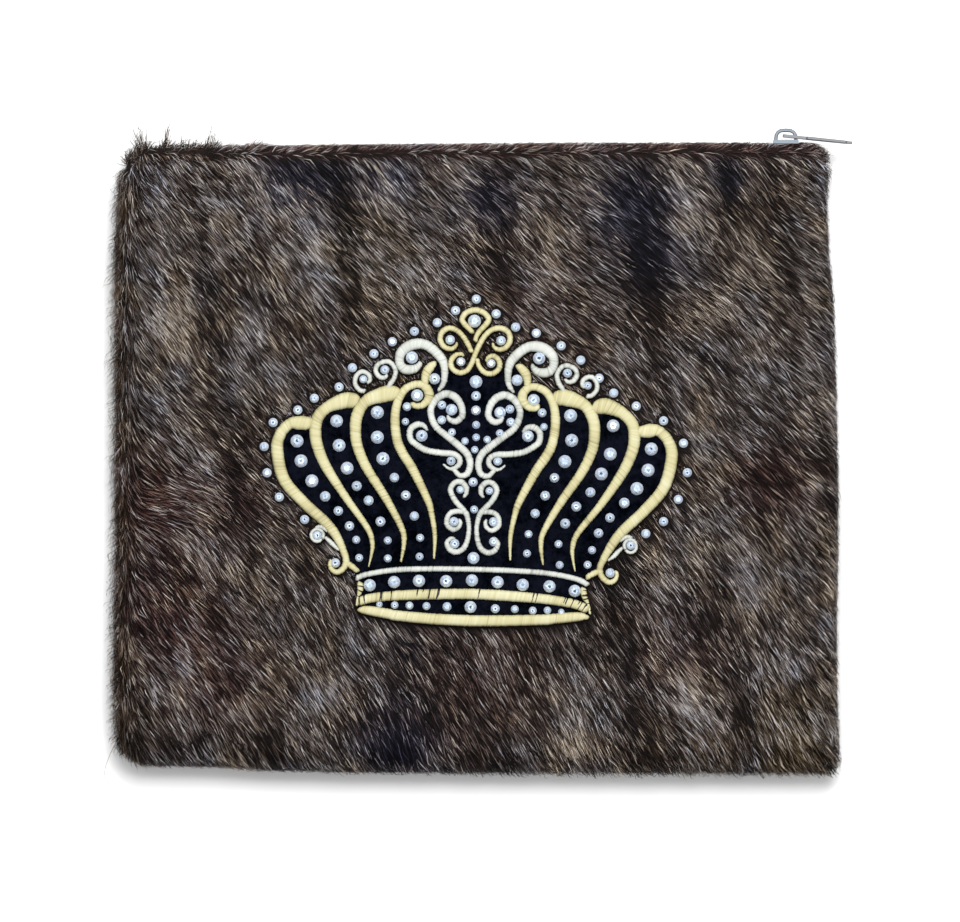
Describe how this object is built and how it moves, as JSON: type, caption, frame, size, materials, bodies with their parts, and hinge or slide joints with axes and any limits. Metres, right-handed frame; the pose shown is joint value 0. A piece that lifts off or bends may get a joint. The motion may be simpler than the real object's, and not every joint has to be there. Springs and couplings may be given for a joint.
{
  "type": "tallit and tefillin bag",
  "caption": "Flat zip pouch of short-haired hide with a crown in gold and silver thread, black velvet and round set stones on its front.",
  "frame": {"origin": "middle of the whole model's box, on the surface that the bag lies on", "axes": "+Z out of the front face, +Y towards the zip, +X towards the end where the slider stops"},
  "size_m": [0.3268, 0.284, 0.0348],
  "materials": {
    "haired_hide": "short lying hair",
    "zip_tape": "woven",
    "brass_teeth": "aged",
    "nickel_plate": "satin",
    "black_velvet": "velvet pile",
    "gold_thread": "satin stitch",
    "silver_thread": "satin stitch",
    "foiled_glass": "faceted, foil backed"
  },
  "bodies": {
    "bag": {"back_panel": "haired_hide", "crown_patch": "black_velvet", "front_panel": "haired_hide", "gold_crest": "gold_thread", "gold_ribs_left": "gold_thread", "gold_ribs_right": "gold_thread", "gold_rim": "gold_thread", "outer_stone_01": "foiled_glass", "outer_stone_02": "foiled_glass", "outer_stone_03": "foiled_glass", "outer_stone_04": "foiled_glass", "outer_stone_05": "foiled_glass", "outer_stone_06": "foiled_glass", "outer_stone_07": "foiled_glass", "outer_stone_08": "foiled_glass", "outer_stone_09": "foiled_glass", "outer_stone_10": "foiled_glass", "outer_stone_11": "foiled_glass", "outer_stone_12": "foiled_glass", "outer_stone_13": "foiled_glass", "outer_stone_14": "foiled_glass", "outer_stone_15": "foiled_glass", "outer_stone_16": "foiled_glass", "outer_stone_17": "foiled_glass", "outer_stone_18": "foiled_glass", "outer_stone_19": "foiled_glass", "outer_stone_20": "foiled_glass", "outer_stone_21": "foiled_glass", "outer_stone_22": "foiled_glass", "outer_stone_23": "foiled_glass", "outer_stone_24": "foiled_glass", "outer_stone_25": "foiled_glass", "outer_stone_26": "foiled_glass", "outer_stone_27": "foiled_glass", "outer_stone_28": "foiled_glass", "outer_stone_29": "foiled_glass", "silver_band": "silver_thread", "silver_curl_inner_left": "silver_thread", "silver_curl_inner_right": "silver_thread", "silver_curl_outer_left": "silver_thread", "silver_curl_outer_right": "silver_thread", "silver_foot_left": "silver_thread", "silver_foot_right": "silver_thread", "silver_lower_left": "silver_thread", "silver_lower_right": "silver_thread", "silver_s_left": "silver_thread", "silver_s_right": "silver_thread", "silver_scroll_left": "silver_thread", "silver_scroll_right": "silver_thread", "slider": "nickel_plate", "top_strip_back": "haired_hide", "top_strip_front": "haired_hide", "zip_tape": "zip_tape", "zip_teeth": "brass_teeth"},
    "tab": {"pull_tab": "nickel_plate"}
  },
  "joints": [
    {"name": "pull_swing", "type": "hinge", "parent": "bag", "child": "tab", "pos_m": [0.1334, 0.13875, 0.015], "axis": [0, 0, 1], "range_deg": [0, 165]}
  ]
}
